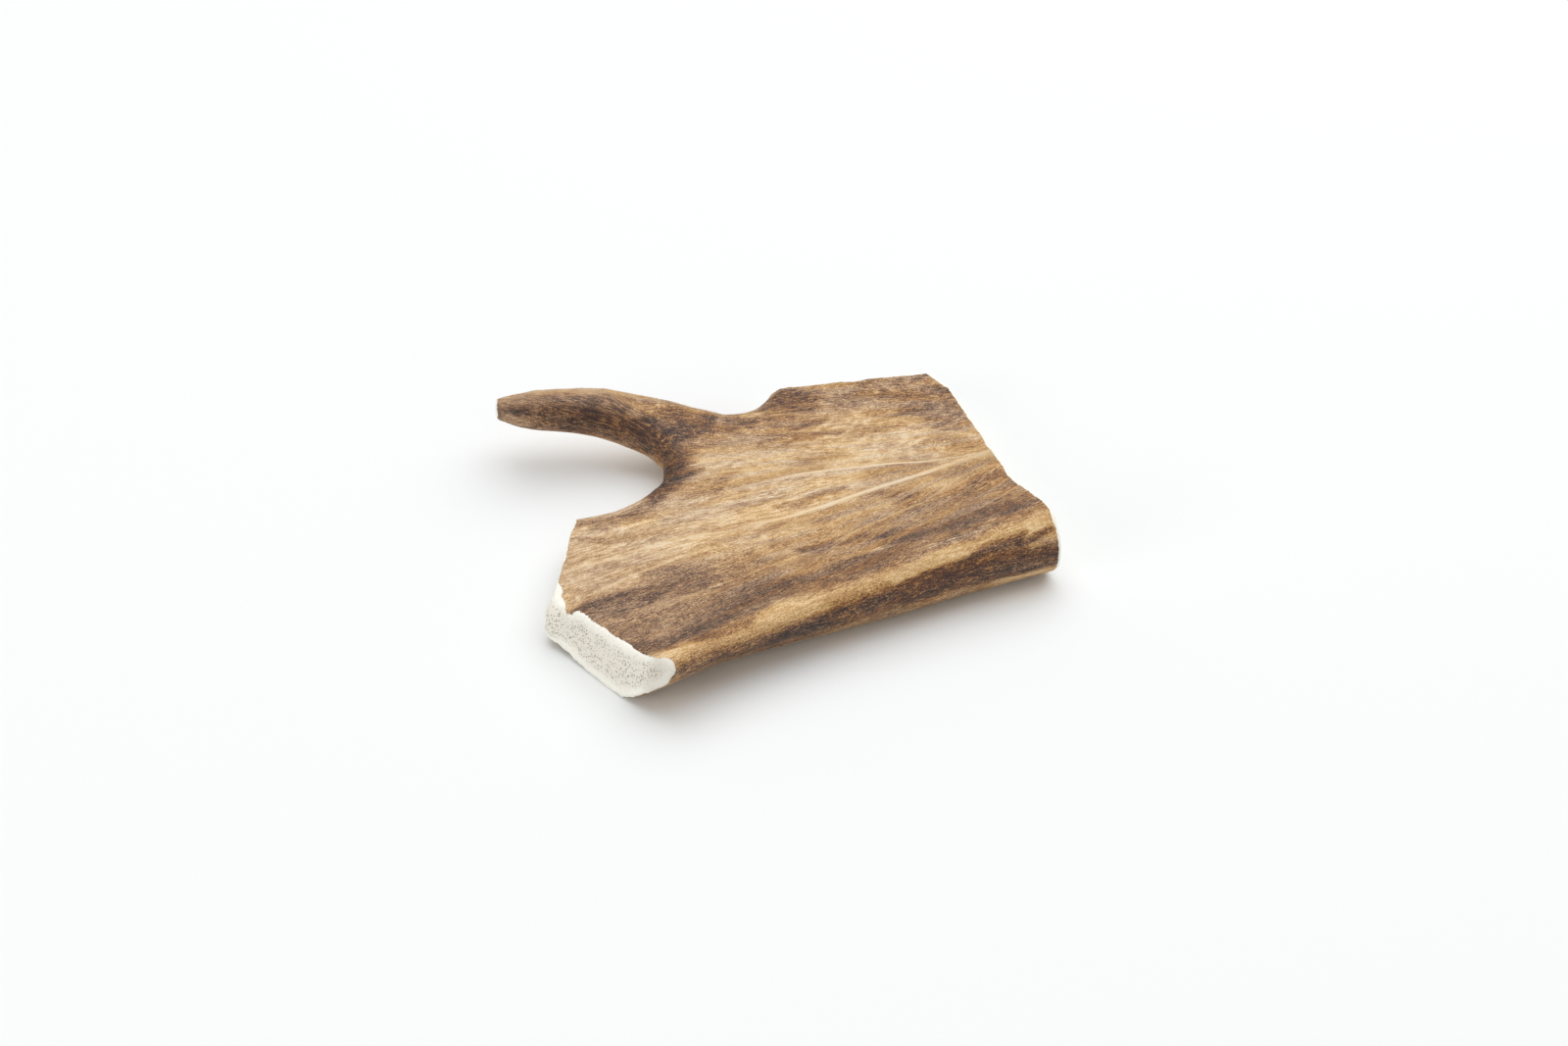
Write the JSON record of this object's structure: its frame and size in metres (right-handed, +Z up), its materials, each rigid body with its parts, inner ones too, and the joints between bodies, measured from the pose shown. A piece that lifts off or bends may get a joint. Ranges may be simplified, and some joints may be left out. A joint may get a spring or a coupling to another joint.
{
  "type": "sawn deer antler piece",
  "caption": "Flat slab of palmate deer antler with a thick rounded front edge, sawn ends and a curved tapering tine growing from its back edge.",
  "frame": {"origin": "bottom centre of the whole piece's bounding box, on the plane that it rests on", "axes": "+X along the grain towards the thick beam end, +Y across the palm towards the tine, +Z up"},
  "size_m": [0.1366, 0.1218, 0.0214],
  "materials": {
    "antler": "satin, with pale porous bone on the sawn faces"
  },
  "bodies": {
    "root": {"palm": "antler", "tine": "antler"}
  },
  "joints": []
}
